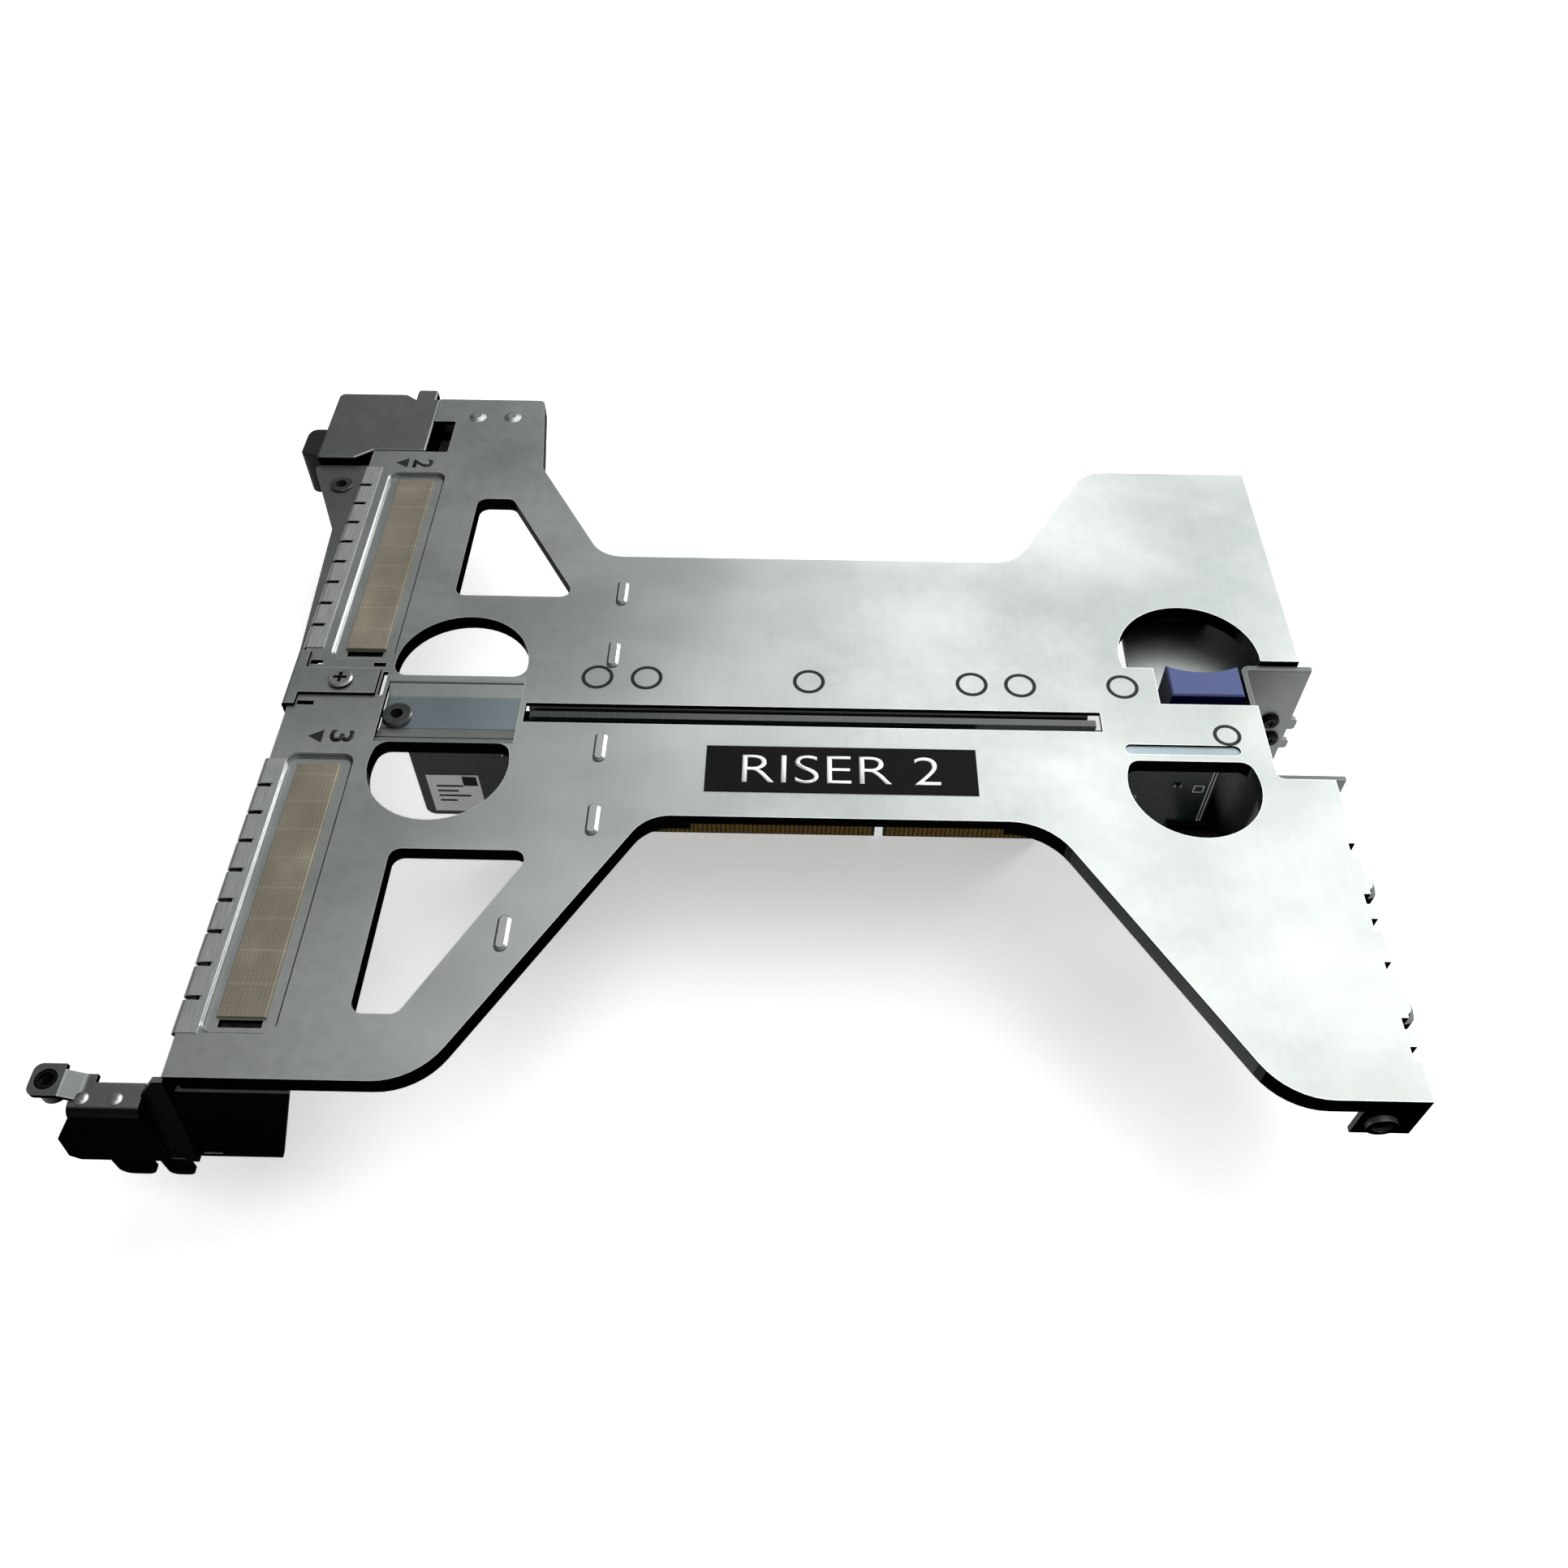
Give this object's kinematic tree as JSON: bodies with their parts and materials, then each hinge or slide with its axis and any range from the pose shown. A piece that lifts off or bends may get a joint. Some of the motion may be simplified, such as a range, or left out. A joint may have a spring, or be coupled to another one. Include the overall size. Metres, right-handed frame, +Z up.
{
  "type": "pcie riser card",
  "caption": "Butterfly riser cage: folded steel plate with a vertical riser board and a sideways card socket on each side, for two low-profile cards.",
  "frame": {"origin": "middle of the lower edge of the riser board's tongue, on the board's mid plane", "axes": "+X from the rear wall with the card bracket windows to the front bracket, +Y across the cage towards the longer rear arm, +Z up to the top plate"},
  "size_m": [0.2322, 0.1924, 0.0396],
  "materials": {
    "galvanised_sheet": "zinc-coated sheet, fine grain, satin",
    "plated_steel": "bright zinc plating",
    "black_steel": "black oxide, satin",
    "spring_steel": "bright rolled strip",
    "conductive_fabric": "tan conductive weave over foam",
    "board_laminate": "dark green solder mask",
    "socket_plastic": "moulded black, matte",
    "contact_gold": "gold plating",
    "touch_blue": "moulded blue, fine grain",
    "label_black": "black film, slight gloss",
    "tag_white": "white paper label",
    "chip_epoxy": "black epoxy",
    "capacitor_can": "drawn can, satin",
    "black_rubber": "moulded rubber, matte"
  },
  "bodies": {
    "root": {"top_plate": "galvanised_sheet", "rear_panel": "galvanised_sheet", "upper_ledge": "galvanised_sheet", "ledge_insert": "plated_steel", "upper_clamp": "galvanised_sheet", "clamp_bumper": "black_rubber", "lower_end_bracket": "galvanised_sheet", "tab_nut": "black_steel", "channel_insert": "plated_steel", "centre_clip": "galvanised_sheet", "clip_screw": "plated_steel", "upper_finger_strip": "spring_steel", "lower_finger_strip": "spring_steel", "upper_gasket": "conductive_fabric", "lower_gasket": "conductive_fabric", "riser_board": "board_laminate", "south_socket": "socket_plastic", "north_socket": "socket_plastic", "south_contacts": "contact_gold", "north_contacts": "contact_gold", "board_carrier": "galvanised_sheet", "board_standoffs": "plated_steel", "board_screws": "plated_steel", "plate_rivets": "plated_steel", "front_bracket": "galvanised_sheet", "front_screws": "black_steel", "touch_shelf": "galvanised_sheet", "touch_point": "touch_blue", "label_plate": "label_black", "board_tag": "tag_white", "buffer_chips": "chip_epoxy", "bulk_capacitors": "capacitor_can"}
  },
  "joints": []
}
